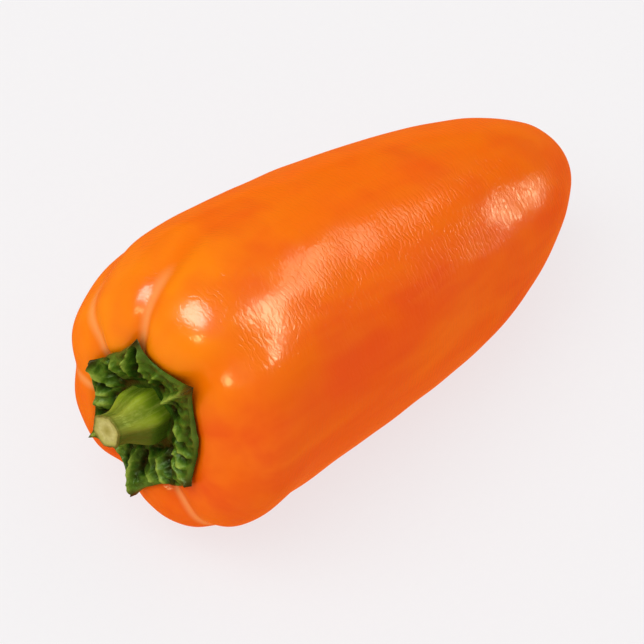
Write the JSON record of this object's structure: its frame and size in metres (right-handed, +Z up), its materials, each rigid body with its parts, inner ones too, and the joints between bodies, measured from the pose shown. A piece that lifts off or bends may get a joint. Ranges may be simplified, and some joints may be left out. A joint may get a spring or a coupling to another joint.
{
  "type": "mini bell pepper",
  "caption": "Small tapered sweet pepper lying on its side, with lobed shoulders, a toothed star-shaped calyx and a short cut stem.",
  "frame": {"origin": "middle of the bounding box's bottom, on the surface that the pepper lies on", "axes": "+X along the pepper from the stem end to the blossom tip, +Z up, +Y across to the side away from the picture's camera"},
  "size_m": [0.0816, 0.0396, 0.0395],
  "materials": {
    "fruit_skin": "smooth waxy pepper skin, high gloss",
    "calyx_leaf": "crinkled dark green sepals, slight sheen",
    "stem_stalk": "ribbed light green stalk, slight sheen, pale dry cut end"
  },
  "bodies": {
    "root": {"fruit": "fruit_skin", "calyx": "calyx_leaf", "stem": "stem_stalk"}
  },
  "joints": []
}
